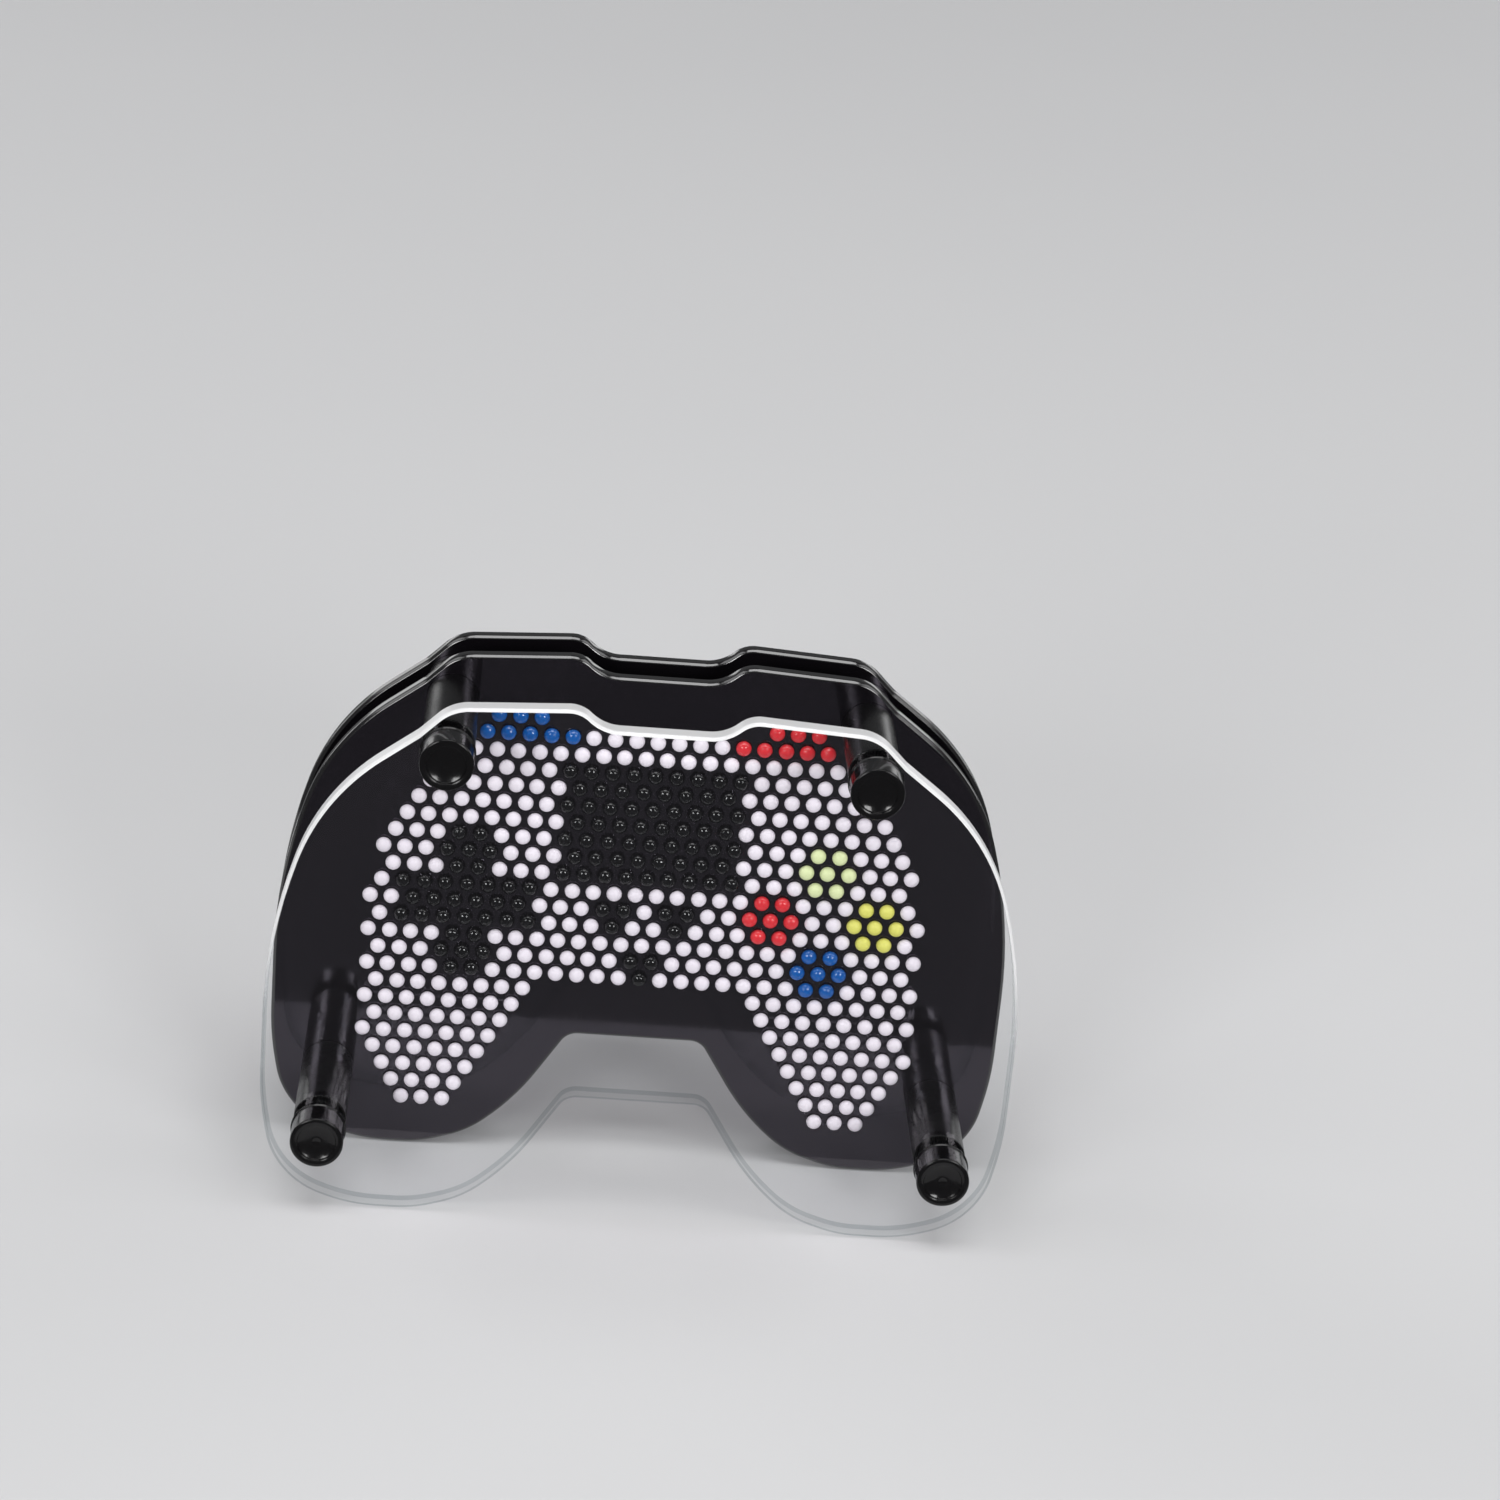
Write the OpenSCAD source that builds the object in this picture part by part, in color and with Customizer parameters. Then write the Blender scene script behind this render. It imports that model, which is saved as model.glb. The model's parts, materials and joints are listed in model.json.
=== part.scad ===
// Pin art impression toy in the outline of a game controller.
// A clear front plate and two drilled black plates are held apart on four posts. Coloured pins
// slide through both black plates, and their domed heads show a relief behind the clear plate.
// The toy stands upright on its two grips: +Z is up, -Y is the front, and the origin lies on
// the surface it stands on, in the middle of its bounding box.

/* [Plates] */
// Thickness of the clear front plate
clear_t = 3.5; // [2:0.1:5]
// Thickness of each of the two drilled plates
pin_plate_t = 2.5; // [2:0.1:4]
// Clear space between the front plate and the front drilled plate
chamber_depth = 21; // [12:0.5:30]
// Clear space between the two drilled plates
guide_gap = 6.7; // [4:0.1:12]
// Height of the lowest point of the grips below the centre line of the pin field
grip_drop = 43.4; // [42.8:0.1:44.8]

/* [Posts] */
// Radius of the spacer tubes
tube_r = 4.25; // [3:0.05:4.6]
// Radius of the post caps on the front plate
cap_r = 4.3; // [3:0.05:4.4]
// Height of a post cap in front of the plate
cap_h = 5.3; // [4.6:0.1:8]
// Radius of the thin collar at the foot of a post cap
collar_r = 4.5; // [4.4:0.05:5]
// Distance of the upper posts from the middle
upper_post_x = 33.7; // [30:0.1:36]
// Height of the upper posts above the centre line of the pin field
upper_post_z = 36.6; // [35:0.1:37]
// Distance of the lower posts from the middle
lower_post_x = 50.6; // [49:0.1:53]
// Height of the lower posts above the centre line of the pin field
lower_post_z = -29.9; // [-33:0.1:-27]
// Radius of a tie screw's shank
screw_r = 1.4; // [1:0.05:1.6]

/* [Pins] */
// Distance between neighbouring pins in a row
pin_pitch = 3.472; // [3.2:0.001:3.6]
// Radius of a pin's domed head
head_r = 1.27; // [1:0.01:1.4]
// Height of a pin's domed head
head_h = 1.2; // [0.8:0.05:1.6]
// Radius of a pin's shank
shank_r = 0.8; // [0.6:0.05:0.9]
// Radial play of a shank in its holes
pin_play = 0.2; // [0.15:0.01:0.3]
// How far a pin slides towards the front plate
pin_travel = 19.2; // [8:0.1:19.4]

/* [Hidden] */
$fn = 64;

// Play that keeps pieces of different bodies from touching
rest_gap = 0.1;
// Gap that a pin fully forward leaves in front of its head
front_gap = 0.5;
// Length of a pin's tail that still stands behind the rear plate when the pin is fully forward
tail_spare = 2.3;
// Rounded end of a pin's tail
tail_tip_h = 0.4;
tail_tip_r = 0.45;
// Plain edge of a pin's head under its dome
head_edge_h = 0.3;
// Collar, bevelled front edge and flat rim of a post cap, and the recess inside the rim
collar_h = 0.4;
cap_edge = 0.5;
cap_rim = 0.65;
cap_recess = 0.4;
// Blind hole in a post cap, into which the tie screw cuts its thread
cap_bore_depth = 3.6;
cap_bore_r = screw_r + 0.05;
// Clearance holes for the tie screws in plates and spacers
screw_hole_r = screw_r + 0.3;
// Pan head of a tie screw, with its cross recess
screw_head_r = 2.9;
screw_head_face_r = 2.3;
screw_head_h = 1.7;
recess_w = 0.7;
recess_l = 3;
recess_depth = 1;
// The tie screw stops short of the end of the cap's hole
screw_end_gap = 0.6;
// Over-length of shapes that are cut away
cut = 1;

// Colours of the plastics
CLEAR = [0.85, 0.9, 0.95, 0.3];
BLACK_PLATE = [0.08, 0.08, 0.09];
BLACK_POST = [0.06, 0.06, 0.07];
WHITE = [0.88, 0.84, 0.88];
BLUE = [0, 0.33, 0.69];
RED = [0.89, 0.2, 0.22];
GREEN = [0.83, 0.89, 0.59];
YELLOW = [0.87, 0.85, 0.31];
BLACK = [0.1, 0.1, 0.11];

// A pin's travel, which ends before its head would touch the clear plate
travel = min(pin_travel, chamber_depth - rest_gap - head_h - front_gap);
// Stack of pieces along Y, front to back
total_depth = cap_h + clear_t + chamber_depth + 2 * pin_plate_t + guide_gap + travel + tail_spare;
cap_front_y = -total_depth / 2;
clear_front_y = cap_front_y + cap_h;
clear_back_y = clear_front_y + clear_t;
front_plate_y = clear_back_y + chamber_depth;
guide_y = front_plate_y + pin_plate_t;
rear_plate_y = guide_y + guide_gap;
rear_face_y = rear_plate_y + pin_plate_t;
tail_y = rear_face_y + travel + tail_spare;

// Pin field: rows count downwards, and u is the distance from the middle in pin pitches.
half_pitch = 0.5;
row_pitch = pin_pitch * sqrt(3) / 2;
row_zero_offset = 2.5;
first_row = -14;
last_row = 9;
// Last pin of each row, from the top row down
row_ends = [7.5, 8, 9.5, 10, 10.5, 11, 11.5, 12, 12.5, 12, 12.5, 13,
            12.5, 13, 12.5, 13, 12.5, 13, 12.5, 13, 12.5, 12, 11.5, 11];
// First pin of the top row, and of the rows that run down into the grips
top_row_start = 5.5;
grip_first_row = 2;
grip_row_start = 4.5;

function row_x(u) = u * pin_pitch;
function row_z(row) = grip_drop - (row + row_zero_offset) * row_pitch;
function row_end(row) = row_ends[row - first_row];
function row_start(row) =
    row == first_row ? top_row_start
    : row >= grip_first_row ? grip_row_start + row / 2
    : 0;
// Every pin as [row, u]
ALL_PINS = [for (row = [first_row : last_row])
    for (u = [-row_end(row) : row_end(row)])
        if (abs(u) >= row_start(row)) [row, u]];

// Distance between two pins in steps of the hexagonal field
function steps(row, u, row0, u0) =
    let (dr = abs(row - row0), du = abs(u - u0)) dr + max(0, du - dr / 2);

// Features of the controller's face, each placed by its middle pin
screen_rows = [-11, -5];
screen_half_w = 4;
dpad_u = -8.5;
dpad_row = -3;
dpad_arm_rows = [-7, 1];
dpad_stem_half_w = 1;
dpad_arm_half_h = 1;
dpad_arm_half_w = 3;
menu_row = -3;
menu_u = 1.5;
home_row = 0;
button_reach = 1;
buttons = [["pins_button_green", -6, 8.5], ["pins_button_red", -3, 6],
           ["pins_button_yellow", -3, 11], ["pins_button_blue", 0, 8.5]];
shoulder_row = -13;
shoulder_start = 4;
// Bands of rows into which the screen and the plain white pins are divided
screen_bands = [-11, -9, -7, -5];
side_bands = [-14, -11, -9, -7, -5, -3, -1, 1, 3, 5, 7];
middle_bands = [-14, -4, -2, 0];
middle_half_w = 4.25;

function in_screen(row, u) =
    row >= screen_rows[0] && row <= screen_rows[1] && abs(u) <= screen_half_w;
function in_dpad(row, u) =
    (row >= dpad_arm_rows[0] && row <= dpad_arm_rows[1] && abs(u - dpad_u) <= dpad_stem_half_w)
    || (abs(row - dpad_row) <= dpad_arm_half_h && abs(u - dpad_u) <= dpad_arm_half_w);
function in_shoulder(row, u) =
    row == first_row || (row == shoulder_row && abs(u) >= shoulder_start);
function button_of(row, u) =
    [for (b = buttons) if (steps(row, u, b[1], b[2]) <= button_reach) b[0]];
// Triangles of three pins: two above one for the menu marks and for the home mark
function in_mark(row, u, top_row, middle_u) =
    (row == top_row && abs(u - middle_u) == half_pitch) || (row == top_row + 1 && u == middle_u);
function band(row, starts) = len([for (s = starts) if (row >= s) s]);

function dpad_group(row, u) =
    abs(u - dpad_u) > dpad_stem_half_w ? (u < dpad_u ? "pins_dpad_left" : "pins_dpad_right")
    : abs(row - dpad_row) <= dpad_arm_half_h ? "pins_dpad_middle"
    : row < dpad_row ? "pins_dpad_up" : "pins_dpad_down";
function white_group(row, u) =
    abs(u) <= middle_half_w ? str("pins_white_middle_", band(row, middle_bands))
    : str(u < 0 ? "pins_white_left_" : "pins_white_right_", band(row, side_bands));
// The group that a pin belongs to
function group_of(row, u) =
    in_shoulder(row, u) ? (u < 0 ? "pins_shoulder_left" : "pins_shoulder_right")
    : in_screen(row, u) ? str("pins_screen_", band(row, screen_bands))
    : in_dpad(row, u) ? dpad_group(row, u)
    : in_mark(row, u, menu_row, -menu_u) ? "pins_menu_left"
    : in_mark(row, u, menu_row, menu_u) ? "pins_menu_right"
    : in_mark(row, u, home_row, 0) ? "pins_home"
    : len(button_of(row, u)) > 0 ? button_of(row, u)[0]
    : white_group(row, u);

PIN_GROUPS = concat(
    ["pins_shoulder_left", "pins_shoulder_right"],
    [for (i = [1 : len(screen_bands)]) str("pins_screen_", i)],
    ["pins_dpad_up", "pins_dpad_down", "pins_dpad_left", "pins_dpad_right", "pins_dpad_middle"],
    ["pins_menu_left", "pins_menu_right", "pins_home"],
    [for (b = buttons) b[0]],
    [for (i = [1 : len(side_bands)]) str("pins_white_left_", i)],
    [for (i = [1 : len(side_bands)]) str("pins_white_right_", i)],
    [for (i = [1 : len(middle_bands)]) str("pins_white_middle_", i)]);

// Posts as [name, x, z]
POSTS = [
    ["upper_left", -upper_post_x, upper_post_z], ["upper_right", upper_post_x, upper_post_z],
    ["lower_left", -lower_post_x, lower_post_z], ["lower_right", lower_post_x, lower_post_z]];

// Outline of all three plates: the corners of the right half from the top middle round to the
// bottom middle, as [x, height above the centre line, corner radius].
top_edge = 42.1;
notch_edge = -21.6;
corners = [
    [9.6, top_edge, 7], [13.2, 45.3, 5], [33.6, 44.1, 7.5], [38.4, 39.3, 5],
    [53.2, 28.1, 36], [60.7, 3.5, 88], [60.4, -25, 50], [57.5, -39.2, 14],
    [45, -grip_drop, 26], [34.8, -grip_drop, 20], [26.8, -40.9, 18],
    [19.2, -34.4, 40], [11.1, notch_edge, 3.2]];
// Widest angle between two neighbouring points of a rounded corner
arc_step = 3;

function unit(v) = v / norm(v);
// Points of the arc that rounds corner b, between its neighbours a and c
function rounded(a, b, c, r) =
    let (
        to_a = unit(a - b),
        to_c = unit(c - b),
        half = acos(to_a * to_c) / 2,
        centre = b + unit(to_a + to_c) * r / sin(half),
        first = b + to_a * r / tan(half) - centre,
        last = b + to_c * r / tan(half) - centre,
        turn = (180 - 2 * half) * sign(cross(first, last)),
        n = max(2, ceil(abs(turn) / arc_step)))
    [for (i = [0 : n]) let (t = turn * i / n)
        centre + [first.x * cos(t) - first.y * sin(t), first.x * sin(t) + first.y * cos(t)]];
function point(c) = [c.x, c.y];
half_outline =
    let (n = len(corners))
    [for (i = [0 : n - 1])
        each rounded(
            i == 0 ? [0, top_edge] : point(corners[i - 1]),
            point(corners[i]),
            i == n - 1 ? [0, notch_edge] : point(corners[i + 1]),
            corners[i][2])];
full_outline = concat(
    half_outline,
    [for (i = [len(half_outline) - 1 : -1 : 0]) [-half_outline[i].x, half_outline[i].y]]);

// Lays a drawing made in X and height onto the plane y, with its thickness towards +Y
module upright(y, t) {
    translate([0, y + t, 0])
        rotate([90, 0, 0])
            linear_extrude(t)
                children();
}

// One plate without holes, from y towards the back
module plate_blank(y, t) {
    upright(y, t)
        translate([0, grip_drop])
            polygon(full_outline);
}

// A round hole along Y through a plate, at x and z
module hole(x, z, y, t, r) {
    translate([x, y - cut, z])
        rotate([-90, 0, 0])
            cylinder(r = r, h = t + 2 * cut);
}

module post_holes(y, t) {
    for (p = POSTS)
        hole(p[1], grip_drop + p[2], y, t, screw_hole_r);
}

module clear_front_plate() {
    color(CLEAR)
        difference() {
            plate_blank(clear_front_y, clear_t);
            post_holes(clear_front_y, clear_t);
        }
}

module pin_plate(y) {
    color(BLACK_PLATE)
        difference() {
            plate_blank(y, pin_plate_t);
            post_holes(y, pin_plate_t);
            for (p = ALL_PINS)
                hole(row_x(p[1]), row_z(p[0]), y, pin_plate_t, shank_r + pin_play);
        }
}

module front_pin_plate() {
    pin_plate(front_plate_y);
}

module rear_pin_plate() {
    pin_plate(rear_plate_y);
}

// Puts a turned piece, drawn along +Z, on a post with its axis towards +Y, from y onwards
module on_post(post, y) {
    translate([post[1], y, grip_drop + post[2]])
        rotate([-90, 0, 0])
            children();
}

module cap(post) {
    color(BLACK_POST)
        on_post(post, cap_front_y)
            difference() {
                union() {
                    cylinder(r1 = cap_r - cap_edge, r2 = cap_r, h = cap_edge);
                    translate([0, 0, cap_edge])
                        cylinder(r = cap_r, h = cap_h - cap_edge);
                    translate([0, 0, cap_h - collar_h])
                        cylinder(r = collar_r, h = collar_h);
                }
                translate([0, 0, -cut])
                    cylinder(r = cap_r - cap_edge - cap_rim, h = cut + cap_recess);
                translate([0, 0, cap_h - cap_bore_depth])
                    cylinder(r = cap_bore_r, h = cap_bore_depth + cut);
            }
}

module spacer(post, y, length) {
    color(BLACK_POST)
        on_post(post, y)
            difference() {
                cylinder(r = tube_r, h = length);
                translate([0, 0, -cut])
                    cylinder(r = screw_hole_r, h = length + 2 * cut);
            }
}

module front_tube(post) {
    spacer(post, clear_back_y, chamber_depth);
}

module rear_spacer(post) {
    spacer(post, guide_y, guide_gap);
}

module tie_screw(post) {
    shank_start = cap_front_y + cap_h - cap_bore_depth + screw_end_gap;
    difference() {
        union() {
            on_post(post, shank_start)
                cylinder(r = screw_r, h = rear_face_y - shank_start + cut);
            on_post(post, rear_face_y)
                cylinder(r1 = screw_head_r, r2 = screw_head_face_r, h = screw_head_h);
        }
        for (turn = [0, 90])
            on_post(post, rear_face_y + screw_head_h - recess_depth)
                rotate([0, 0, turn])
                    translate([-recess_l / 2, -recess_w / 2, 0])
                        cube([recess_l, recess_w, recess_depth + cut]);
    }
}

module tie_screws() {
    color("silver")
        for (p = POSTS)
            tie_screw(p);
}

// One pin at rest, along +Z from the top of its dome to the end of its tail
module pin() {
    dome_h = head_h - head_edge_h;
    dome_r = (head_r * head_r + dome_h * dome_h) / (2 * dome_h);
    shank_l = tail_y - (front_plate_y - rest_gap) - tail_tip_h;
    intersection() {
        translate([0, 0, dome_r])
            sphere(dome_r);
        cylinder(r = head_r, h = dome_h);
    }
    translate([0, 0, dome_h])
        cylinder(r = head_r, h = head_edge_h);
    translate([0, 0, head_h])
        cylinder(r = shank_r, h = shank_l);
    translate([0, 0, head_h + shank_l])
        cylinder(r1 = shank_r, r2 = tail_tip_r, h = tail_tip_h);
}

function begins_with(name, word) =
    len([for (i = [0 : len(word) - 1]) if (name[i] == word[i]) i]) == len(word);

function group_colour(name) =
    begins_with(name, "pins_white") ? WHITE
    : name == "pins_shoulder_left" || name == "pins_button_blue" ? BLUE
    : name == "pins_shoulder_right" || name == "pins_button_red" ? RED
    : name == "pins_button_green" ? GREEN
    : name == "pins_button_yellow" ? YELLOW
    : BLACK;

module pin_group(name) {
    color(group_colour(name))
        for (p = ALL_PINS)
            if (group_of(p[0], p[1]) == name)
                translate([row_x(p[1]), front_plate_y - rest_gap - head_h, row_z(p[0])])
                    rotate([-90, 0, 0])
                        pin();
}

clear_front_plate();
front_pin_plate();
rear_pin_plate();
for (post = POSTS) {
    cap(post);
    front_tube(post);
    rear_spacer(post);
}
tie_screws();
for (name = PIN_GROUPS)
    pin_group(name);
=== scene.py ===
import json
import math
import random

import bmesh
import bpy
from mathutils import Matrix, Vector
from mathutils.geometry import delaunay_2d_cdt


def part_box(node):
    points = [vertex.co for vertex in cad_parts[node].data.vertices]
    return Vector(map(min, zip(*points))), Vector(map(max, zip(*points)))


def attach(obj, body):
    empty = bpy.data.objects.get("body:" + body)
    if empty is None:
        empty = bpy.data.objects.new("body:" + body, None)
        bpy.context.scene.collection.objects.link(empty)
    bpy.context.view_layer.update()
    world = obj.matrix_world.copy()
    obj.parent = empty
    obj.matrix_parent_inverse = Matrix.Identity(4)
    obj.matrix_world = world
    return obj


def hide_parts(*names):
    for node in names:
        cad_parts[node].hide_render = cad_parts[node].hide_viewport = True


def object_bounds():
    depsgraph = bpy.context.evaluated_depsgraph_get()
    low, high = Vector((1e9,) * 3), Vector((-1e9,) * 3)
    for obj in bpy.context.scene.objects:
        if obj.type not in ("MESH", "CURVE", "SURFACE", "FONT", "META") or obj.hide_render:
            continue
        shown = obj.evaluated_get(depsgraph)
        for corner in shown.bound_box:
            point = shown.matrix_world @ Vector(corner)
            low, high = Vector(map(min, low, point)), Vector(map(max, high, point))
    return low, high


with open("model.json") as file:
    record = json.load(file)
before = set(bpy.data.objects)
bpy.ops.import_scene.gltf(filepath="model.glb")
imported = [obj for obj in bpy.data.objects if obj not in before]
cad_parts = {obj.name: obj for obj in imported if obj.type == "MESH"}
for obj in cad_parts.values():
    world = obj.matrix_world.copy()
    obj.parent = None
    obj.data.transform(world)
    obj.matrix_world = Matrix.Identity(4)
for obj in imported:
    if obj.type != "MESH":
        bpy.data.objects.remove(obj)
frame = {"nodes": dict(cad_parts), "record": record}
cad_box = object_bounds()
NODES = frame["nodes"]
MM = 0.001
FULL_TURN = 2 * math.pi

# ---------------------------------------------------------------- camera

CAMERA_PLACE = Vector((-26, -671, 332)) * MM
CAMERA_HEADING = math.radians(-3.5)  # turned to the right of straight at the front
CAMERA_DIP = math.radians(21)
CAMERA_ROLL = math.radians(5.2)
CAMERA_LENS = 106


def make_camera():
    data = bpy.data.cameras.new("camera")
    data.lens = CAMERA_LENS
    data.clip_start = 0.01
    data.clip_end = 100
    camera = bpy.data.objects.new("camera", data)
    bpy.context.scene.collection.objects.link(camera)
    turn = (
        Matrix.Rotation(CAMERA_HEADING, 4, "Z")
        @ Matrix.Rotation(math.pi / 2 - CAMERA_DIP, 4, "X")
        @ Matrix.Rotation(CAMERA_ROLL, 4, "Z")
    )
    camera.matrix_world = Matrix.Translation(CAMERA_PLACE) @ turn
    bpy.context.scene.camera = camera


make_camera()

# ---------------------------------------------------------------- materials


class Nodes:
    """A material's node tree, with short calls for the few node kinds used here."""

    def __init__(self, name):
        self.material = bpy.data.materials.new(name)
        self.material.use_nodes = True
        self.tree = self.material.node_tree
        self.shader = self.tree.nodes["Principled BSDF"]
        self.output = self.tree.nodes["Material Output"]
        self.place = self.add("ShaderNodeTexCoord").outputs["Object"]

    def add(self, kind, **settings):
        node = self.tree.nodes.new(kind)
        for key, value in settings.items():
            setattr(node, key, value)
        return node

    def link(self, source, target):
        self.tree.links.new(source, target)

    def feed(self, socket, source):
        """Links a source to one of the shader's sockets."""
        self.link(source, self.shader.inputs[socket])

    def stretch(self, scale):
        """The object's coordinates, scaled along each axis."""
        mapping = self.add("ShaderNodeMapping")
        mapping.inputs["Scale"].default_value = scale
        self.link(self.place, mapping.inputs["Vector"])
        return mapping.outputs["Vector"]

    def noise(self, size, detail=2.0, vector=None):
        """Noise whose blotches are about size metres wide."""
        node = self.add("ShaderNodeTexNoise")
        node.inputs["Scale"].default_value = 1 / size
        node.inputs["Detail"].default_value = detail
        self.link(vector or self.place, node.inputs["Vector"])
        return node.outputs["Fac"]

    def span(self, value, low, high, start=0.3, end=0.7):
        """Maps value from start..end to low..high."""
        node = self.add("ShaderNodeMapRange")
        node.inputs["From Min"].default_value = start
        node.inputs["From Max"].default_value = end
        node.inputs["To Min"].default_value = low
        node.inputs["To Max"].default_value = high
        self.link(value, node.inputs["Value"])
        return node.outputs["Result"]

    def blend(self, value, first, second):
        node = self.add("ShaderNodeMix", data_type="RGBA")
        self.link(value, node.inputs["Factor"])
        for socket, colour in (("A", first), ("B", second)):
            target = [i for i in node.inputs if i.name == socket and i.type == "RGBA"][0]
            if isinstance(colour, tuple):
                target.default_value = (*colour, 1)
            else:
                self.link(colour, target)
        return [o for o in node.outputs if o.type == "RGBA"][0]

    def relief(self, value, depth):
        """Bumps of the given depth in metres on the shader's surface."""
        node = self.add("ShaderNodeBump")
        node.inputs["Strength"].default_value = 1
        node.inputs["Distance"].default_value = depth
        self.link(value, node.inputs["Height"])
        self.feed("Normal", node.outputs["Normal"])

    def set(self, **values):
        for name, value in values.items():
            self.shader.inputs[name.replace("_", " ")].default_value = value


def shade(colour, factor):
    return tuple(min(1, c * factor) for c in colour)


def pin_plastic(name, colour, rough, specular, tone, grain):
    """Moulded pin: each head a little lighter or darker, faint mottling and mould texture."""
    nodes = Nodes(name)
    own_tone = nodes.add("ShaderNodeAttribute", attribute_name="tone").outputs["Fac"]
    per_pin = nodes.blend(own_tone, shade(colour, 1 - tone), shade(colour, 1 + tone))
    mottle = nodes.span(nodes.noise(0.55 * MM, 3), 0.0, 1.0)
    nodes.feed("Base Color", nodes.blend(mottle, per_pin, shade(colour, 1 - 0.7 * tone)))
    nodes.feed("Roughness", nodes.span(nodes.noise(0.4 * MM), rough * 0.8, rough * 1.25))
    nodes.relief(nodes.noise(0.2 * MM, 3), grain)
    nodes.set(Specular_IOR_Level=specular)
    return nodes.material


def gloss_black(name, colour, rough, specular, sheen=(1, 1, 1)):
    """Polished black plastic: long shallow waviness, fine hairline scratches and dust."""
    nodes = Nodes(name)
    dust = nodes.span(nodes.noise(0.35 * MM, 4), 0.0, 1.0, 0.66, 0.8)
    dusty = shade(colour, 2.2)
    nodes.feed("Base Color", nodes.blend(dust, colour, dusty))
    hairline = nodes.noise(0.12 * MM, 2, nodes.stretch((1.0, 1.0, 0.04)))
    haze = nodes.noise(14 * MM, 3)
    wear = nodes.add("ShaderNodeMath", operation="MULTIPLY")
    nodes.link(nodes.span(hairline, 0.6, 1.6, 0.35, 0.75), wear.inputs[0])
    nodes.link(nodes.span(haze, rough * 0.7, rough * 1.5), wear.inputs[1])
    nodes.feed("Roughness", wear.outputs["Value"])
    nodes.relief(nodes.noise(7 * MM, 1), 0.01 * MM)
    nodes.set(Specular_IOR_Level=specular, Specular_Tint=(*sheen, 1))
    return nodes.material


# Tints of what the clear sheet mirrors, where it is clean and where it is smeared.
MIRROR_TONES = ((0.98, 0.93, 1), (0.93, 0.88, 0.96))


def see_through(nodes, tint, ior, rough, pattern):
    """Lets light straight through, with a mirror on the outer side that grows stronger at low angles."""
    through = nodes.add("ShaderNodeBsdfTransparent")
    nodes.link(nodes.blend(pattern, tint, shade(tint, 0.98)), through.inputs["Color"])
    mirror = nodes.add("ShaderNodeBsdfGlossy")
    nodes.link(nodes.span(pattern, rough * 0.5, rough * 1.5), mirror.inputs["Roughness"])
    nodes.link(nodes.blend(pattern, *MIRROR_TONES), mirror.inputs["Color"])
    edge_on = nodes.add("ShaderNodeFresnel")
    edge_on.inputs["IOR"].default_value = ior
    outer = nodes.add("ShaderNodeMath", operation="SUBTRACT")
    outer.inputs[0].default_value = 1.0
    nodes.link(nodes.add("ShaderNodeNewGeometry").outputs["Backfacing"], outer.inputs[1])
    share = nodes.add("ShaderNodeMath", operation="MULTIPLY")
    nodes.link(edge_on.outputs["Fac"], share.inputs[0])
    nodes.link(outer.outputs["Value"], share.inputs[1])
    mix = nodes.add("ShaderNodeMixShader")
    nodes.link(share.outputs["Value"], mix.inputs[0])
    nodes.link(through.outputs["BSDF"], mix.inputs[1])
    nodes.link(mirror.outputs["BSDF"], mix.inputs[2])
    return mix.outputs["Shader"]


def clear_acrylic(name, tint, ior, rough):
    """Polished face of the clear sheet, faintly smeared."""
    nodes = Nodes(name)
    nodes.tree.nodes.remove(nodes.shader)
    nodes.link(see_through(nodes, tint, ior, rough, nodes.noise(22 * MM, 3)), nodes.output.inputs["Surface"])
    return nodes.material


# How far a rim's outward side tips upwards where its painted glow starts and where it is full; the glow is
# painted light that stands in for the light from above.
PAINTED_GLOW_SLOPES = (-0.02, 0.12)
FULL_PAINTED_GLOW = 0.96


def cut_edge(name, painted_glow_tone, tint, ior, rough):
    """Polished rim of the clear sheet: where it faces the sky it gets a painted milky glow, standing in for
    light from above, and below it is clear.
    """
    nodes = Nodes(name)
    nodes.tree.nodes.remove(nodes.shader)
    streaks = nodes.noise(3 * MM, 2, nodes.stretch((1.0, 0.05, 1.0)))
    # Painted light: a milky diffuse layer that makes the upward faces of the rim look lit from above.
    painted_top_glow = nodes.add("ShaderNodeBsdfPrincipled")
    painted_top_glow.inputs["Roughness"].default_value = 0.3
    nodes.link(nodes.blend(streaks, painted_glow_tone, shade(painted_glow_tone, 0.95)), painted_top_glow.inputs["Base Color"])
    facing = nodes.add("ShaderNodeSeparateXYZ")
    nodes.link(nodes.add("ShaderNodeTexCoord").outputs["Normal"], facing.inputs["Vector"])
    side = nodes.span(nodes.add("ShaderNodeNewGeometry").outputs["Backfacing"], 1.0, -1.0, 0.0, 1.0)
    outward = nodes.add("ShaderNodeMath", operation="MULTIPLY")
    nodes.link(facing.outputs["Z"], outward.inputs[0])
    nodes.link(side, outward.inputs[1])
    # The painted glow is full on faces that look upwards and fades out on faces that look sideways or down.
    painted_glow_share = nodes.span(outward.outputs["Value"], 0.0, FULL_PAINTED_GLOW, *PAINTED_GLOW_SLOPES)
    mix = nodes.add("ShaderNodeMixShader")
    nodes.link(painted_glow_share, mix.inputs[0])
    nodes.link(see_through(nodes, tint, ior, rough, streaks), mix.inputs[1])
    nodes.link(painted_top_glow.outputs["BSDF"], mix.inputs[2])
    nodes.link(mix.outputs["Shader"], nodes.output.inputs["Surface"])
    return nodes.material


def zinc_steel(name, dull, bright):
    """Plated steel, mottled between a dull and a bright tone."""
    nodes = Nodes(name)
    mottle = nodes.noise(0.8 * MM, 4)
    colour = nodes.blend(nodes.span(mottle, 0, 1), dull, bright)
    nodes.feed("Base Color", colour)
    nodes.feed("Roughness", nodes.span(mottle, 0.33, 0.5))
    nodes.relief(nodes.noise(0.15 * MM), 0.01 * MM)
    nodes.set(Metallic=1.0)
    return nodes.material


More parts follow.
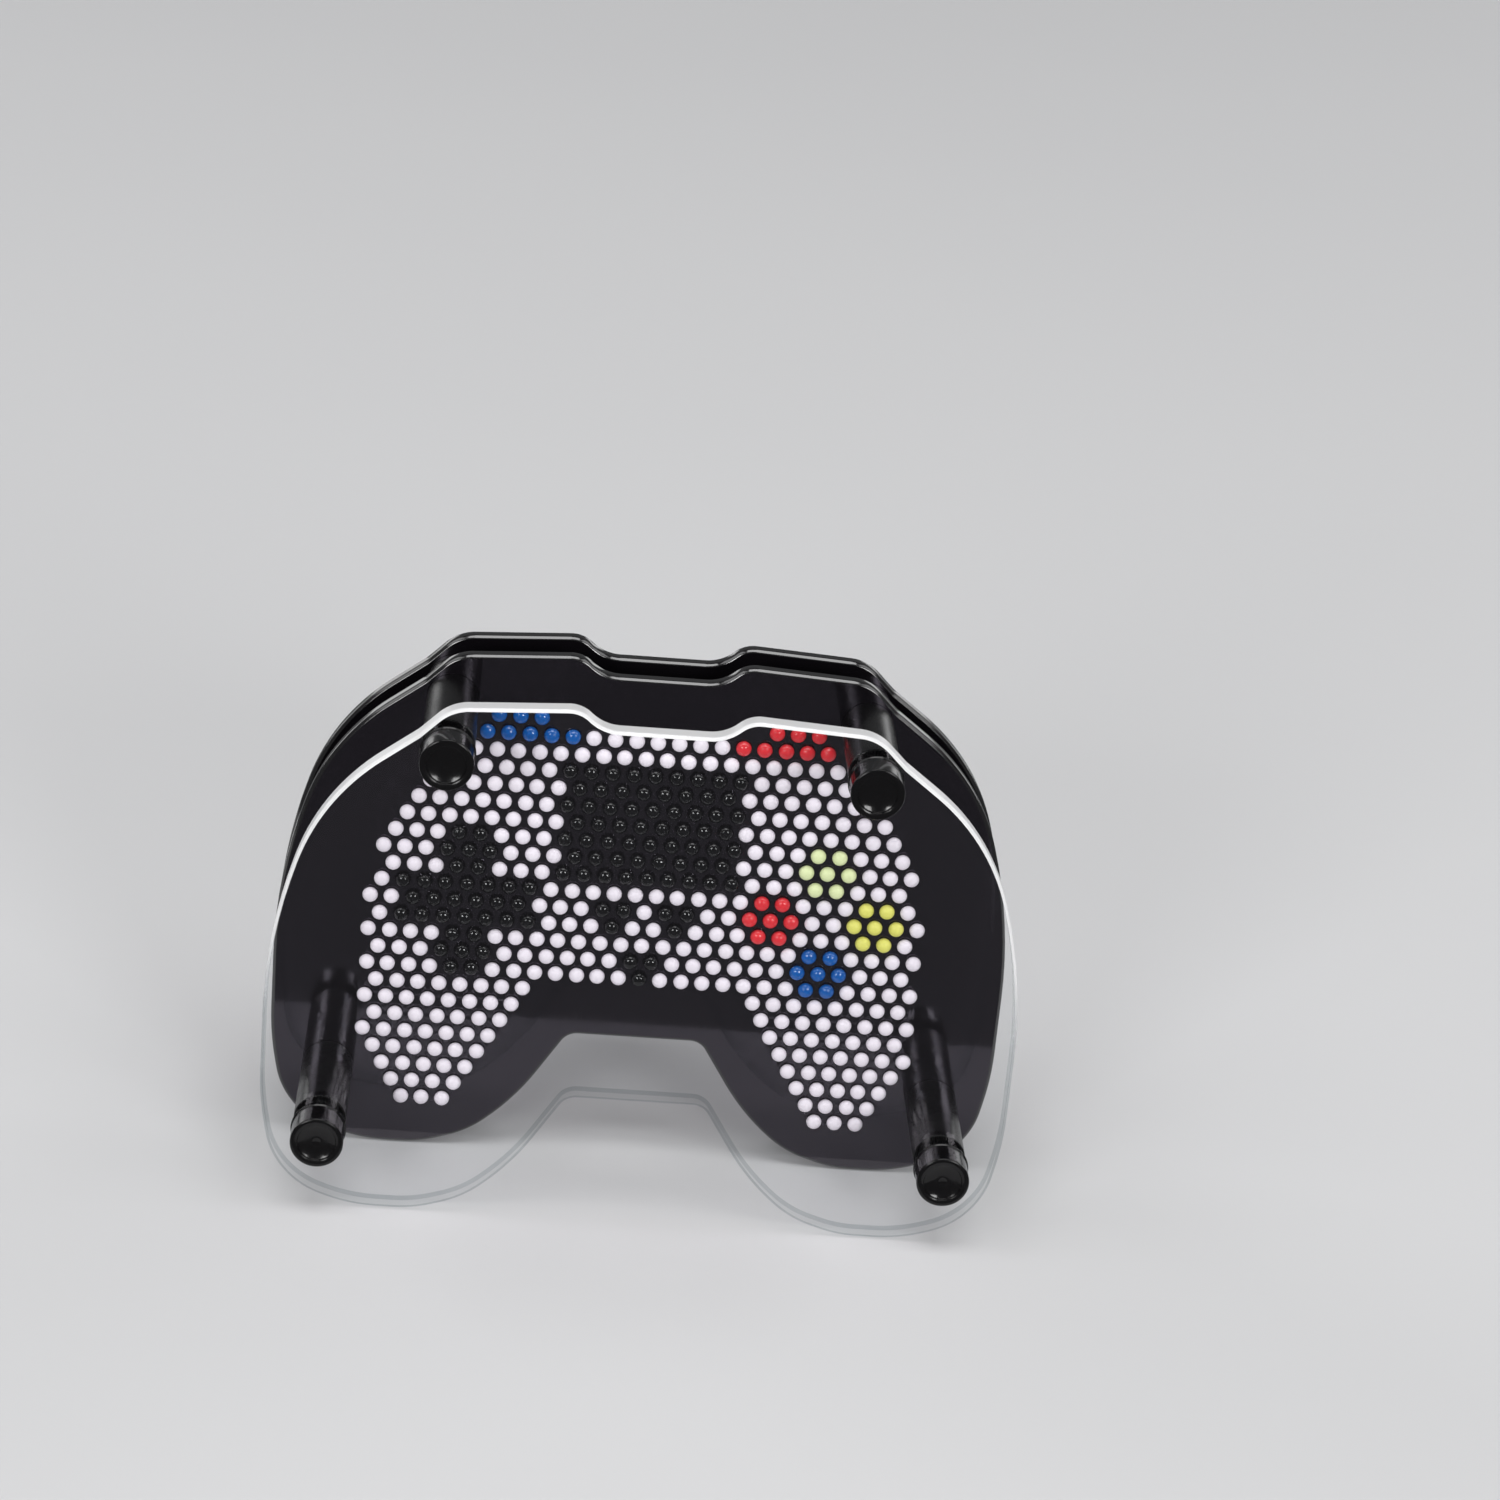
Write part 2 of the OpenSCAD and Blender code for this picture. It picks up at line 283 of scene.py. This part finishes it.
MATT_GRAIN = 0.006 * MM
GLOSS_GRAIN = 0.0008 * MM
MATERIALS = {
    "clear_acrylic": clear_acrylic("clear_acrylic", (0.985, 0.99, 0.992), 1.5, 0.02),
    # The first colour of each rim is its painted glow, the light from above painted on its upward faces.
    "acrylic_bevel": cut_edge("acrylic_bevel", (0.72, 0.72, 0.725), (0.74, 0.77, 0.78), 1.3, 0.05),
    "acrylic_wall": cut_edge("acrylic_wall", (0.70, 0.70, 0.705), (0.93, 0.94, 0.94), 1.3, 0.04),
    "black_plate": gloss_black("black_plate", (0.0035, 0.003, 0.0038), 0.06, 0.75, (0.92, 0.84, 1.0)),
    "black_rim": gloss_black("black_rim", (0.003, 0.0027, 0.0032), 0.11, 1.0),
    "black_post": gloss_black("black_post", (0.0027, 0.0025, 0.0028), 0.15, 0.32),
    "black_tube": gloss_black("black_tube", (0.0027, 0.0025, 0.0028), 0.3, 0.28),
    "screw_steel": zinc_steel("screw_steel", (0.5, 0.5, 0.52), (0.66, 0.66, 0.65)),
    "pin_white": pin_plastic("pin_white", (0.785, 0.725, 0.79), 0.4, 0.35, 0.03, MATT_GRAIN),
    "pin_black": pin_plastic("pin_black", (0.0026, 0.0026, 0.003), 0.08, 0.4, 0.2, GLOSS_GRAIN),
    "pin_blue": pin_plastic("pin_blue", (0.0, 0.088, 0.36), 0.1, 0.7, 0.06, GLOSS_GRAIN),
    "pin_red": pin_plastic("pin_red", (0.68, 0.026, 0.036), 0.14, 0.6, 0.05, GLOSS_GRAIN),
    "pin_green": pin_plastic("pin_green", (0.7, 0.77, 0.42), 0.35, 0.4, 0.03, MATT_GRAIN),
    "pin_yellow": pin_plastic("pin_yellow", (0.7, 0.68, 0.14), 0.35, 0.4, 0.03, MATT_GRAIN),
}

SLOT_OF = {row["node"]: row["material_slot"] for row in frame["record"]["subparts"]}
BODY_OF = {node: body for body, nodes in frame["record"]["behaviour"]["bodies"].items() for node in nodes}

# ---------------------------------------------------------------- making pieces


def mesh_object(name, verts, faces, materials=()):
    """A mesh with the given materials, placed in the scene."""
    mesh = bpy.data.meshes.new(name)
    mesh.from_pydata(verts, [], faces)
    mesh.update()
    for material in materials:
        mesh.materials.append(material)
    made = bpy.data.objects.new(name, mesh)
    bpy.context.scene.collection.objects.link(made)
    return made


def add_piece(name, verts, faces, node, materials=None, face_materials=None):
    """A smooth mesh that stands for a CAD node and rides on its body."""
    piece = mesh_object(name, verts, faces, materials or [MATERIALS[SLOT_OF[node]]])
    for polygon in piece.data.polygons:
        polygon.use_smooth = True
    if face_materials:
        for polygon, index in zip(piece.data.polygons, face_materials):
            polygon.material_index = index
    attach(piece, BODY_OF[node])
    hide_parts(node)
    return piece


def lathe(profile, segments):
    """Vertices and faces of a profile of (radius, y) turned about the Y axis. A radius of 0 closes it."""
    verts = []
    rings = []
    for radius, y in profile:
        if radius == 0:
            rings.append([len(verts)])
            verts.append((0.0, y, 0.0))
            continue
        rings.append(list(range(len(verts), len(verts) + segments)))
        for i in range(segments):
            angle = FULL_TURN * i / segments
            verts.append((radius * math.cos(angle), y, radius * math.sin(angle)))
    faces = []
    for low, high in zip(rings, rings[1:]):
        for i in range(segments):
            j = (i + 1) % segments
            quad = [low[i % len(low)], high[i % len(high)], high[j % len(high)], low[j % len(low)]]
            faces.append(list(dict.fromkeys(quad)))
    return verts, faces


def corner_arc(radius, y, size, start, end, steps=4):
    """Points of a quarter round of the given size about (radius, y), from angle start to end in degrees."""
    angles = [math.radians(start + (end - start) * i / steps) for i in range(steps + 1)]
    return [(radius + size * math.cos(a), y + size * math.sin(a)) for a in angles]


def moved(verts, x, z):
    return [(vx + x, vy, vz + z) for vx, vy, vz in verts]


# ---------------------------------------------------------------- plates

FACE, RIM, WALL = range(3)  # the places of a plate's three materials
BLACK_CHAMFER = 0.45 * MM
CLEAR_CHAMFER = 0.42 * MM
CHAMFER_SOFTENING = 0.12 * MM
SAME_PLACE = 0.0001 * MM  # points of a piece within this distance are one point
CAD_SAME_PLACE = 0.001 * MM  # the same for the CAD mesh
FACES_FRONT = -0.99  # a face whose normal has a lower y looks to the front
HOLE_ROUND = 0.18 * MM
ROUND_STEPS = 2
HOLE_SEGMENTS = 24
ARC_STEP = math.radians(2.5)
GRIP_DROP = 43.4  # from the middle of the pin field down to the feet
HALF_OUTLINE = [  # x, z and corner radius of the right half, in mm from the middle of the pin field
    (9.6, 42.1, 7),
    (13.2, 45.3, 5),
    (33.6, 44.1, 7.5),
    (38.4, 39.3, 5),
    (53.2, 28.1, 36),
    (60.7, 3.5, 88),
    (60.4, -25, 50),
    (57.5, -39.2, 14),
    (45, -43.4, 26),
    (34.8, -43.4, 20),
    (26.8, -40.9, 18),
    (19.2, -34.4, 40),
    (11.1, -21.6, 3.2),
]


def plate_outline(low, high):
    """The outline shared by the three plates, anticlockwise, with its corners drawn as arcs."""
    right = [(Vector((x, z + GRIP_DROP)) * MM, r * MM) for x, z, r in HALF_OUTLINE]
    corners = right + [(Vector((-p.x, p.y)), r) for p, r in reversed(right)]
    outline = []
    for number, (corner, radius) in enumerate(corners):
        back = (corners[number - 1][0] - corner).normalized()
        ahead = (corners[(number + 1) % len(corners)][0] - corner).normalized()
        half = back.angle(ahead) / 2
        centre = corner + (back + ahead).normalized() * radius / math.sin(half)
        start = corner + back * radius / math.tan(half) - centre
        turn = -math.copysign(math.pi - 2 * half, back.cross(ahead))
        steps = max(3, math.ceil(abs(turn) / ARC_STEP))
        outline += [centre + Matrix.Rotation(turn * i / steps, 2) @ start for i in range(steps + 1)]
    kept = [Vector((clamped(p.x, low.x, high.x), clamped(p.y, low.z, high.z))) for p in outline]
    return kept if signed_area(kept) > 0 else kept[::-1]


def clamped(value, low, high):
    """The value, or the nearer limit if it lies past one."""
    return min(max(value, low), high)


def hole_rims(node):
    """The loops of (x, z) points round the holes in a CAD plate's front face."""
    bm = bmesh.new()
    bm.from_mesh(NODES[node].data)
    bmesh.ops.remove_doubles(bm, verts=bm.verts, dist=CAD_SAME_PLACE)
    front = {f for f in bm.faces if f.normal.y < FACES_FRONT}
    rim = [e for e in bm.edges if len([f for f in e.link_faces if f in front]) == 1]
    unused = set(rim)
    loops = []
    for edge in rim:
        if edge not in unused:
            continue
        unused.discard(edge)
        first, vert = edge.verts
        loop = [first]
        while vert is not first:
            loop.append(vert)
            edge = next(e for e in vert.link_edges if e in unused)
            unused.discard(edge)
            vert = edge.other_vert(vert)
        loops.append([Vector((v.co.x, v.co.z)) for v in loop])
    bm.free()
    outline = max(loops, key=lambda loop: abs(signed_area(loop)))
    return [loop for loop in loops if loop is not outline]


def signed_area(loop):
    return sum(a.x * b.y - b.x * a.y for a, b in zip(loop, loop[1:] + loop[:1])) / 2


def true_circle(loop):
    """A hole's loop redrawn as an even circle, clockwise."""
    centre = sum(loop, Vector((0, 0))) / len(loop)
    radius = sum((p - centre).length for p in loop) / len(loop)
    angles = [-FULL_TURN * i / HOLE_SEGMENTS for i in range(HOLE_SEGMENTS)]
    return [centre + radius * Vector((math.cos(a), math.sin(a))) for a in angles]


def pushed(loop, distance):
    """The loop moved into the material, which lies on its left, by distance."""
    out = []
    for before, here, after in zip(loop[-1:] + loop[:-1], loop, loop[1:] + loop[:1]):
        along = (here - before).normalized() + (after - here).normalized()
        along.normalize()
        out.append(here + Vector((-along.y, along.x)) * distance)
    return out


def plate_loops(node):
    """The outline, anticlockwise, and then the holes, clockwise, of a CAD plate."""
    return [plate_outline(*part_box(node))] + [true_circle(loop) for loop in hole_rims(node)]


def flat_faces(loops):
    """Triangles that fill the outline and leave the holes open, as indices into the loops' points."""
    points = [p for loop in loops for p in loop]
    loop_of = [number for number, loop in enumerate(loops) for _ in loop]
    edges = []
    start = 0
    for loop in loops:
        count = len(loop)
        edges += [(start + i, start + (i + 1) % count) for i in range(count)]
        start += count
    inside_only = 1
    nearest = 1e-8
    _, _, faces, sources, _, _ = delaunay_2d_cdt(points, edges, [], inside_only, nearest)
    triangles = [[sources[i][0] for i in face] for face in faces]
    # A triangle whose corners all lie on one hole's loop covers that hole.
    return [t for t in triangles if loop_of[t[0]] == 0 or len({loop_of[i] for i in t}) > 1]


def eased_rim():
    """A quarter round, as (inset from the wall, depth from the face), from the face to the wall."""
    angles = [math.pi / 2 * i / ROUND_STEPS for i in range(ROUND_STEPS + 1)]
    return [(HOLE_ROUND * (1 - math.sin(a)), HOLE_ROUND * (1 - math.cos(a))) for a in angles]


def chamfered_rim(size):
    """A flat 45 degree chamfer with softened corners, as (inset, depth) from the face to the wall."""
    soft = CHAMFER_SOFTENING
    # Where the rounding leaves the face, its middle, and where it meets the slope.
    face_side = [(size + soft, 0), (size + soft * 0.3, soft * 0.105), (size - soft * 0.7, soft * 0.7)]
    return face_side + [(depth, inset) for inset, depth in reversed(face_side)]


def make_plate(name, node, materials, chamfer):
    """A CAD plate with its outline and holes, its edge chamfered and the holes' rims eased."""
    low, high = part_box(node)
    loops = plate_loops(node)
    verts = []
    faces = []
    kinds = []
    front_cap = []
    back_cap = []
    for number, loop in enumerate(loops):
        rim = eased_rim() if number else chamfered_rim(chamfer)
        steps = [(inset, low.y + depth) for inset, depth in rim]
        steps += [(inset, low.y + high.y - y) for inset, y in reversed(steps)]
        rings = []
        for inset, y in steps:
            rings.append(range(len(verts), len(verts) + len(loop)))
            verts += [(p.x, y, p.y) for p in pushed(loop, inset)]
        wall = len(rings) // 2
        for step, (first, second) in enumerate(zip(rings, rings[1:]), start=1):
            for i in range(len(loop)):
                j = (i + 1) % len(loop)
                faces.append((first[i], first[j], second[j], second[i]))
                kinds.append(WALL if step == wall else RIM)
        front_cap += list(rings[0])
        back_cap += list(rings[-1])
    plate_inset = chamfered_rim(chamfer)[0][0]
    insets = [pushed(loop, HOLE_ROUND if number else plate_inset) for number, loop in enumerate(loops)]
    for triangle in flat_faces(insets):
        faces.append([front_cap[i] for i in reversed(triangle)])
        faces.append([back_cap[i] for i in triangle])
        kinds += [FACE, FACE]
    mend_normals(add_piece(name, verts, faces, node, materials, kinds))


def turn_faces_outwards(piece):
    """Joins the seam of a closed profile and turns every face outwards."""
    bm = bmesh.new()
    bm.from_mesh(piece.data)
    bmesh.ops.remove_doubles(bm, verts=bm.verts, dist=SAME_PLACE)
    bmesh.ops.recalc_face_normals(bm, faces=bm.faces)
    bm.to_mesh(piece.data)
    bm.free()


def mend_normals(piece):
    """Turns every face outwards and keeps the flat faces flat under smooth shading."""
    turn_faces_outwards(piece)
    weighted = piece.modifiers.new("even_faces", "WEIGHTED_NORMAL")
    weighted.mode = "FACE_AREA"
    weighted.weight = 100


def make_plates():
    clear = [MATERIALS[name] for name in ("clear_acrylic", "acrylic_bevel", "acrylic_wall")]
    black = [MATERIALS[name] for name in ("black_plate", "black_rim", "black_rim")]
    make_plate("front_plate_clear", "clear_front_plate", clear, CLEAR_CHAMFER)
    make_plate("front_plate_black", "front_pin_plate", black, BLACK_CHAMFER)
    make_plate("rear_plate_black", "rear_pin_plate", black, BLACK_CHAMFER)


make_plates()

# ---------------------------------------------------------------- posts

POST_SEGMENTS = 56
CAP_EDGE = 0.3 * MM
CAP_FOOT = 0.4 * MM
COLLAR_STEP = 0.2 * MM
COLLAR_CHAMFER = 0.2 * MM
CAP_RIM = 1.15 * MM
DISH_DEPTH = 0.4 * MM
DISH_WALL = 0.08 * MM
GATE_R = 0.7 * MM
GATE_DEPTH = 0.12 * MM
GATE_RIM = 0.08 * MM
SOFT = 0.05 * MM
NEAR_CORNER = 0.03 * MM  # points this near a corner keep a chamfer flat under smooth shading
BORE = 1.7 * MM
BORE_DEPTH = 2 * MM
TUBE_EDGE = 0.2 * MM


def post_shape(node):
    """A round node's x, z and radius, and its front and back ends."""
    low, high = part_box(node)
    return (low.x + high.x) / 2, (low.z + high.z) / 2, (high.x - low.x) / 2, low.y, high.y


def make_cap(node):
    """Cap with a recessed face inside a flat rim, a gate mark in its middle and a thin foot collar."""
    x, z, collar_r, front, foot = post_shape(node)
    body_r = collar_r - COLLAR_STEP
    dish_r = body_r - CAP_RIM
    floor = front + DISH_DEPTH
    collar_front = foot - CAP_FOOT
    chamfer_end = collar_front + COLLAR_CHAMFER
    steps = 4
    profile = [(0, floor + GATE_DEPTH)]
    for i in range(1, steps + 1):
        part = i / steps
        profile.append((GATE_R * part, floor + GATE_DEPTH * (1 - part**2)))
    profile += [(GATE_R + GATE_RIM, floor), (dish_r - DISH_WALL - SOFT, floor)]
    profile += [(dish_r - DISH_WALL, floor - SOFT), (dish_r, front + SOFT), (dish_r + SOFT, front)]
    profile += corner_arc(body_r - CAP_EDGE, front + CAP_EDGE, CAP_EDGE, -90, 0)
    profile += [(body_r, collar_front), (body_r + NEAR_CORNER, collar_front + NEAR_CORNER)]
    profile += [(collar_r - NEAR_CORNER, chamfer_end - NEAR_CORNER), (collar_r, chamfer_end)]
    profile += [(collar_r, foot - SOFT), (collar_r - SOFT, foot)]
    profile += [(BORE, foot), (BORE, foot - BORE_DEPTH), (0, foot - BORE_DEPTH)]
    verts, faces = lathe(profile, POST_SEGMENTS)
    piece = add_piece(node.replace("cap_", "post_cap_"), moved(verts, x, z), faces, node)
    mend_normals(piece)


def make_tube(node):
    """Spacer tube with softened ends and an open bore."""
    x, z, radius, front, back = post_shape(node)
    profile = [(BORE, front)]
    profile += corner_arc(radius - TUBE_EDGE, front + TUBE_EDGE, TUBE_EDGE, -90, 0, 3)
    profile += corner_arc(radius - TUBE_EDGE, back - TUBE_EDGE, TUBE_EDGE, 0, 90, 3)
    profile += [(BORE, back), (BORE, front)]
    verts, faces = lathe(profile, POST_SEGMENTS)
    satin = [MATERIALS["black_tube"]]
    piece = add_piece(node + "_turned", moved(verts, x, z), faces, node, satin)
    mend_normals(piece)


def make_posts():
    for node in sorted(NODES):
        if node.startswith("cap_"):
            make_cap(node)
        if node.startswith(("front_tube_", "rear_spacer_")):
            make_tube(node)


make_posts()

# ---------------------------------------------------------------- screws

SCREW_HEAD_R = 2.9 * MM
SCREW_HEAD_H = 1.7 * MM
SCREW_R = 1.4 * MM
SCREW_SEGMENTS = 40
CROWN_RISE = 0.2 * MM
HEAD_ROUND = 0.7 * MM
RECESS_ARM = 1.65 * MM
RECESS_HALF_WIDTH = 0.42 * MM
RECESS_DEPTH = 1.2 * MM
RECESS_TAPER = 0.55
RECESS_CLEARANCE = 0.3 * MM
SHARP = math.radians(35)


def screw_profile(tip, top):
    """Shank with a tapered tip and a low-crowned pan head, from the tip to the middle of the head."""
    seat = top - SCREW_HEAD_H
    bevel = 0.1 * MM
    round_end = 80  # degrees, where the rounded shoulder meets the crown
    shoulder = top - CROWN_RISE - HEAD_ROUND * math.sin(math.radians(round_end))
    profile = [(0, tip), (SCREW_R * 0.5, tip), (SCREW_R, tip + SCREW_R), (SCREW_R, seat)]
    profile += [(SCREW_HEAD_R - bevel, seat), (SCREW_HEAD_R, seat + bevel)]
    profile += corner_arc(SCREW_HEAD_R - HEAD_ROUND, shoulder, HEAD_ROUND, 0, round_end, 6)
    crown_r = profile[-1][0]
    steps = 5
    for i in range(1, steps):
        part = 1 - i / steps
        profile.append((crown_r * part, top - CROWN_RISE * part**2))
    profile.append((0, top))
    return profile


def recess_cutter(places, top):
    """A tapered cross at the top of each screw head, as one object."""
    arm = RECESS_ARM
    half = RECESS_HALF_WIDTH
    quarter = [(arm, -half), (arm, half), (half, half)]
    quarter_turns = ((1, 0), (0, 1), (-1, 0), (0, -1))
    cross = [(x * c - z * s, x * s + z * c) for c, s in quarter_turns for x, z in quarter]
    count = len(cross)
    verts = []
    faces = []
    for x, z in places:
        top_ring = range(len(verts), len(verts) + count)
        verts += [(x + px, top + RECESS_CLEARANCE, z + pz) for px, pz in cross]
        verts += [(x + px * RECESS_TAPER, top - RECESS_DEPTH, z + pz * RECESS_TAPER) for px, pz in cross]
        faces += [list(top_ring), [i + count for i in reversed(top_ring)]]
        for i, j in zip(top_ring, [*top_ring[1:], top_ring[0]]):
            faces.append([i, i + count, j + count, j])
    cutter = mesh_object("recess_cutter", verts, faces)
    turn_faces_outwards(cutter)
    return cutter


def make_screws():
    """Four pan-head tie screws with cross recesses, in one piece as their CAD node has them."""
    low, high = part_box("tie_screws")
    shaft_verts, shaft_faces = lathe(screw_profile(low.y, high.y), SCREW_SEGMENTS)
    verts = []
    faces = []
    places = [post_shape(node)[:2] for node in sorted(NODES) if node.startswith("cap_")]
    for x, z in places:
        start = len(verts)
        verts += moved(shaft_verts, x, z)
        faces += [[i + start for i in face] for face in shaft_faces]
    piece = add_piece("tie_screws_plated", verts, faces, "tie_screws")
    turn_faces_outwards(piece)
    cutter = recess_cutter(places, high.y)
    cut = piece.modifiers.new("recess", "BOOLEAN")
    cut.operation = "DIFFERENCE"
    cut.solver = "EXACT"
    cut.object = cutter
    shaped = bpy.data.meshes.new_from_object(piece.evaluated_get(bpy.context.evaluated_depsgraph_get()))
    piece.modifiers.clear()
    piece.data = shaped
    bpy.data.objects.remove(cutter)
    keep_edges_sharp(piece)


def keep_edges_sharp(piece):
    """Smooth shading everywhere but across edges that turn by more than SHARP."""
    bm = bmesh.new()
    bm.from_mesh(piece.data)
    for face in bm.faces:
        face.smooth = True
    for edge in bm.edges:
        edge.smooth = len(edge.link_faces) != 2 or edge.calc_face_angle() < SHARP
    bm.to_mesh(piece.data)
    bm.free()


make_screws()

# ---------------------------------------------------------------- pins

PIN_SEGMENTS = 26
HEAD_R = 1.27 * MM
HEAD_H = 1.2 * MM
SHANK_R = 0.8 * MM
TAIL_ROUND = 0.45 * MM
ROLLED_RIM = 0.16 * MM
DOME_STEPS = 8
DOME_SQUARENESS = 0.9
NECK = 0.05 * MM
NECK_LENGTH = 0.08 * MM
TAIL_SEEN = 0.01 * MM  # how far from the group's last point a tail's flat end may lie
SAG = 0.1 * MM  # how far a pin hangs below the middle of its hole, as the hole is a little wider
SHAKE = 0.06 * MM  # how far it may lie to either side
random.seed(12)


def pin_places(node):
    """The (x, z) of every pin of a group, found from the ends of its CAD tails."""
    _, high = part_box(node)
    places = []
    for vert in NODES[node].data.vertices:
        if vert.co.y < high.y - TAIL_SEEN:
            continue
        for place in places:
            if math.hypot(place[0][0] - vert.co.x, place[0][1] - vert.co.z) < HEAD_R:
                place.append((vert.co.x, vert.co.z))
                break
        else:
            places.append([(vert.co.x, vert.co.z)])
    middle = []
    for place in places:
        xs = [p[0] for p in place]
        zs = [p[1] for p in place]
        middle.append(((min(xs) + max(xs)) / 2, (min(zs) + max(zs)) / 2))
    return middle


def pin_profile(front, tail):
    """Domed head with a rolled rim, a short neck fillet, the shank and a rounded tail."""
    rim = ROLLED_RIM
    under = front + HEAD_H
    dome_h = HEAD_H - rim * 1.6
    profile = [(0, front)]
    for i in range(1, DOME_STEPS + 1):
        angle = math.pi / 2 * i / DOME_STEPS
        profile.append((HEAD_R * math.sin(angle) ** DOME_SQUARENESS, front + dome_h * (1 - math.cos(angle))))
    profile += [(HEAD_R, under - rim), (HEAD_R - rim * 0.35, under - rim * 0.3)]
    profile += [(HEAD_R - rim, under), (SHANK_R + NECK, under), (SHANK_R, under + NECK_LENGTH)]
    profile += corner_arc(SHANK_R - TAIL_ROUND, tail - TAIL_ROUND, TAIL_ROUND, 0, 90, 3)
    profile.append((0, tail))
    return profile


def make_pins(node):
    """A group's pins in one piece, each hanging a little low and askew in its holes."""
    low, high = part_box(node)
    pin_verts, pin_faces = lathe(pin_profile(low.y, high.y), PIN_SEGMENTS)
    verts = []
    faces = []
    tones = []
    for x, z in sorted(pin_places(node)):
        start = len(verts)
        dx = random.uniform(-SHAKE, SHAKE)
        dz = random.uniform(-SHAKE, SHAKE) / 2 - SAG
        verts += moved(pin_verts, x + dx, z + dz)
        faces += [[i + start for i in face] for face in pin_faces]
        tones += [random.random()] * len(pin_verts)
    piece = add_piece(node.replace("pins_", "pegs_"), verts, faces, node)
    tone = piece.data.attributes.new("tone", "FLOAT", "POINT")
    tone.data.foreach_set("value", tones)


def make_all_pins():
    for node in sorted(NODES):
        if node.startswith("pins_"):
            make_pins(node)


make_all_pins()

# ---------------------------------------------------------------- studio

FLOOR_REACH = 6.0
FOOT_GAP = 0.15 * MM
# The toy's gloss shows only this near part of the floor, and the dark studio beyond it.
NEAR_FLOOR = (-0.4, -0.055, 0.4, 0.15)
FLOOR_TONES = ((0.65, 0.65, 0.66), (0.68, 0.68, 0.685))
BACKDROP_REACH = 1.7
BACKDROP_HEIGHT = 1.5
BACKDROP_SIDES = 96
BACKDROP_TONE = (0.66, 0.66, 0.67)
STUDIO_TONE = (0.9, 0.91, 0.93)
STUDIO_STRENGTH = 0.18
LIGHT_DISTANCE = 3.0
SOFTBOXES = [  # name, azimuth and elevation in degrees, width and height in metres, watts
    ("front_left", -26, 16, 0.85, 0.85, 34),
    ("front_right", 26, 16, 0.85, 0.85, 35),
    ("overhead", 0, 70, 1.9, 1.3, 36),
    ("side_left", -64, 46, 1.5, 1.5, 13),
    ("side_right", 64, 46, 1.5, 1.5, 13),
    ("rim_left", -125, 14, 1.5, 0.9, 22),
    ("rim_right", 125, 14, 1.5, 0.9, 22),
    ("low_left", -158, 5, 0.9, 0.5, 2),
    ("low_right", 158, 5, 0.9, 0.5, 2),
]


def floor_part(name, rectangles, material):
    """Flat rectangles just under the toy's feet, each given as (x0, y0, x1, y1)."""
    verts = []
    faces = []
    for x0, y0, x1, y1 in rectangles:
        faces.append(range(len(verts), len(verts) + 4))
        verts += [(x, y, -FOOT_GAP) for x, y in ((x0, y0), (x1, y0), (x1, y1), (x0, y1))]
    part = mesh_object(name, verts, [list(face) for face in faces], [material])
    return part


def make_floor():
    nodes = Nodes("floor_paper")
    nodes.feed("Base Color", nodes.blend(nodes.noise(0.4, 2), *FLOOR_TONES))
    nodes.set(Roughness=0.75, Specular_IOR_Level=0.1)
    x0, y0, x1, y1 = NEAR_FLOOR
    reach = FLOOR_REACH
    floor_part("floor_near", [NEAR_FLOOR], nodes.material)
    before_and_behind = [(-reach, -reach, reach, y0), (-reach, y1, reach, reach)]
    beside = [(-reach, y0, x0, y1), (x1, y0, reach, y1)]
    far = floor_part("floor_far", before_and_behind + beside, nodes.material)
    far.visible_glossy = False


def make_backdrop():
    """A pale round wall behind the toy, seen by the camera alone, so it lights nothing."""
    verts = []
    for z in (-FOOT_GAP, BACKDROP_HEIGHT):
        for i in range(BACKDROP_SIDES):
            angle = FULL_TURN * i / BACKDROP_SIDES
            verts.append((BACKDROP_REACH * math.cos(angle), BACKDROP_REACH * math.sin(angle), z))
    faces = []
    for i in range(BACKDROP_SIDES):
        j = (i + 1) % BACKDROP_SIDES
        faces.append((i, j, j + BACKDROP_SIDES, i + BACKDROP_SIDES))
    nodes = Nodes("backdrop_paper")
    nodes.set(Base_Color=(0, 0, 0, 1), Specular_IOR_Level=0.0, Emission_Strength=1.0)
    nodes.set(Emission_Color=(*BACKDROP_TONE, 1))
    wall = mesh_object("backdrop", verts, faces, [nodes.material])
    wall.visible_diffuse = False
    wall.visible_glossy = False
    wall.visible_shadow = False


def aim(light, azimuth, elevation):
    """Points a light at the toy. Azimuth 0 is in front of the toy, and positive is to the right."""
    low, high = cad_box
    target = (low + high) / 2
    a, e = math.radians(azimuth), math.radians(elevation)
    way = Vector((math.sin(a) * math.cos(e), -math.cos(a) * math.cos(e), math.sin(e)))
    bpy.context.scene.collection.objects.link(light)
    light.visible_camera = False
    light.location = target + way * LIGHT_DISTANCE
    light.rotation_mode = "QUATERNION"
    light.rotation_quaternion = (-way).to_track_quat("-Z", "Y")


def softbox(name, azimuth, elevation, width, height, power):
    """A rectangular lamp that faces the toy."""
    data = bpy.data.lights.new(name, "AREA")
    data.shape = "RECTANGLE"
    data.size = width
    data.size_y = height
    data.energy = power
    aim(bpy.data.objects.new(name, data), azimuth, elevation)


def make_world():
    world = bpy.data.worlds.new("studio")
    bpy.context.scene.world = world
    world.use_nodes = True
    background = world.node_tree.nodes["Background"]
    background.inputs["Color"].default_value = (*STUDIO_TONE, 1)
    background.inputs["Strength"].default_value = STUDIO_STRENGTH


make_floor()
make_backdrop()
make_world()
for light_row in SOFTBOXES:
    softbox(*light_row)
bpy.context.scene.view_settings.view_transform = "Standard"
